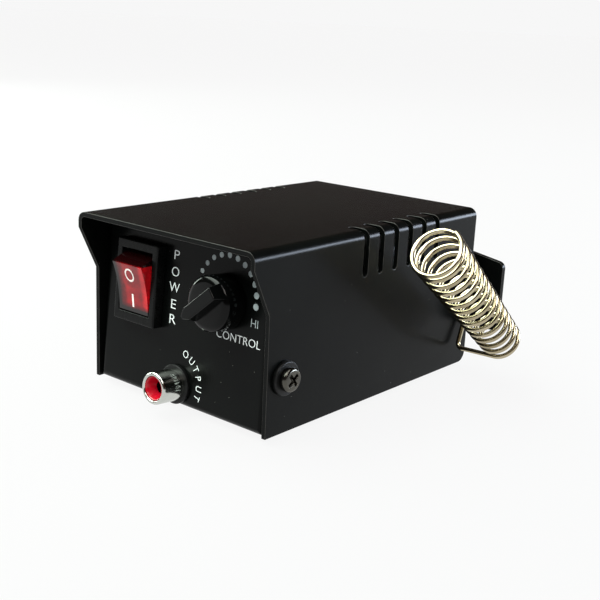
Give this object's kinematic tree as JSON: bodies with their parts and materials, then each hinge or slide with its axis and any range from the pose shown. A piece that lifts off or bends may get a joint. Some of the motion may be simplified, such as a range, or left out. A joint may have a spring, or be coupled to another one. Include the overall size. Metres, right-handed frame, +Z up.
{
  "type": "wood burning pen station",
  "caption": "Power unit of a wood burning pen: folded steel case with a lit rocker switch, heat knob, output jack and a coiled wire rest for the hot pen.",
  "frame": {"origin": "the point of the table under the middle of the case, at the height of the feet's soles", "axes": "+X to the right as seen from the front, the side the pen rest is on; +Y to the back; +Z up"},
  "size_m": [0.0874, 0.0989, 0.0488],
  "materials": {
    "case_paint": "semi-gloss black enamel on folded steel",
    "bracket_paint": "black enamel on steel plate",
    "foot_rubber": "moulded black rubber",
    "nickel": "bright nickel plate",
    "rest_wire": "bright nickel-plated spring wire",
    "zinc": "zinc-plated steel",
    "washer_black": "black fibre washer",
    "switch_black": "moulded black nylon",
    "rocker_red": "clear red polycarbonate",
    "plunger_white": "white acetal",
    "lamp_glass": "neon lamp glass",
    "brass": "bright brass",
    "knob_black": "glossy black moulding",
    "phenolic": "brown phenolic with a carbon track",
    "jack_red": "red moulded insulator",
    "core_steel": "varnished steel laminations",
    "bobbin_nylon": "natural nylon",
    "winding": "enamelled copper wire",
    "board": "paper phenolic board",
    "aluminium": "extruded aluminium",
    "chip_black": "black moulding compound",
    "fuse_glass": "clear fuse tube with plated caps",
    "resistor": "lacquered resistor body",
    "terminal_green": "green terminal moulding",
    "grommet_rubber": "black rubber",
    "capacitor_yellow": "yellow film capacitor box"
  },
  "bodies": {
    "unit": {"cover": "case_paint", "chassis": "case_paint", "feet": "foot_rubber", "cover_screws": "nickel", "cover_washers": "washer_black", "cover_nuts": "zinc", "switch_housing": "switch_black", "switch_blades": "brass", "control_case": "zinc", "control_bush": "brass", "control_washer": "zinc", "control_nut": "nickel", "control_track": "phenolic", "control_lugs": "brass", "jack_collar": "washer_black", "jack_shell": "nickel", "jack_insulator": "jack_red", "jack_contact": "brass", "jack_lug": "brass", "jack_nut": "nickel", "transformer_core": "core_steel", "transformer_bobbin": "bobbin_nylon", "primary_winding": "winding", "secondary_winding": "winding", "transformer_strap": "zinc", "transformer_screws": "zinc", "circuit_board": "board", "board_pillars": "bobbin_nylon", "board_screws": "zinc", "heat_sink": "aluminium", "triac": "chip_black", "capacitor": "capacitor_yellow", "fuse": "fuse_glass", "fuse_clips": "brass", "resistors": "resistor", "terminal_block": "terminal_green", "cord_grommet": "grommet_rubber", "pen_rest_wire": "rest_wire", "rest_bracket": "bracket_paint", "bracket_screws": "nickel", "bracket_nuts": "zinc"},
    "rocker": {"switch_rocker": "rocker_red", "switch_plunger": "plunger_white", "switch_lamp": "lamp_glass"},
    "lever": {"contact_lever": "brass"},
    "knob": {"heat_knob": "knob_black", "control_shaft": "aluminium", "control_wiper": "zinc"}
  },
  "joints": [
    {"name": "rocker_tilt", "type": "hinge", "parent": "unit", "child": "rocker", "pos_m": [-0.0143, -0.0399, 0.03013], "axis": [1, 0, 0], "range_deg": [-30, 0]},
    {"name": "lever_tilt", "type": "hinge", "parent": "unit", "child": "lever", "pos_m": [-0.0143, -0.03163, 0.02947], "axis": [1, 0, 0], "range_deg": [0, 16]},
    {"name": "knob_turn", "type": "hinge", "parent": "unit", "child": "knob", "pos_m": [0.0146, -0.04093, 0.03111], "axis": [0, -0.9969, 0.0785], "range_deg": [-260, 0]}
  ],
  "couplings": [
    {"joint": "lever_tilt", "follows": "rocker_tilt", "ratio": -0.53333}
  ]
}
